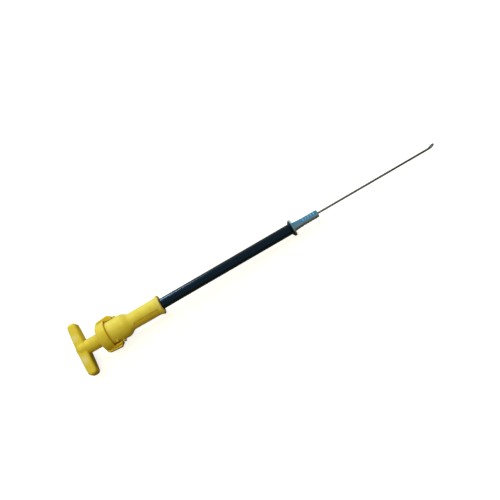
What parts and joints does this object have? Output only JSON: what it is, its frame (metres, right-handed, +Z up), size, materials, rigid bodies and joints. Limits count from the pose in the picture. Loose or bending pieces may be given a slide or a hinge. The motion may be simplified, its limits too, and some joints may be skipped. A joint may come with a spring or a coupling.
{
  "type": "oil dipstick with guide tube",
  "caption": "T-handled oil dipstick in its guide tube: bayonet cap on a moulded socket, black tube, flanged nipple for the engine block and a steel gauge wire with a leaf tip.",
  "frame": {"origin": "under the middle of the part's box, on the surface that it lies on", "axes": "+X along the part from the handle to the leaf, +Z up; the tube axis dips towards the leaf by about 1.7 degrees and the T-bar is rolled until its -Y end touches the surface"},
  "size_m": [0.371, 0.0504, 0.0283],
  "materials": {
    "yellow_plastic": "satin moulded polyamide, yellow",
    "seal_rubber": "matt black",
    "wire_steel": "drawn wire, lightly oiled",
    "black_tube": "glossy extruded polyamide, black",
    "plated_metal": "turned steel, blue-passivated zinc"
  },
  "bodies": {
    "tube_assembly": {"locking_socket": "yellow_plastic", "guide_tube": "black_tube", "block_fitting": "plated_metal"},
    "seal": {"cap_seal_ring": "seal_rubber"},
    "dipstick": {"handle_cap": "yellow_plastic", "gauge_wire": "wire_steel"}
  },
  "joints": [
    {"name": "pull", "type": "slide", "parent": "tube_assembly", "child": "seal", "axis": [-0.9996, 0, 0.0294], "range_m": [0, 0.345]},
    {"name": "twist", "type": "hinge", "parent": "seal", "child": "dipstick", "pos_m": [-0.14785, 0, 0.01327], "axis": [-0.9996, 0, 0.0294], "range_deg": [0, 26]}
  ]
}
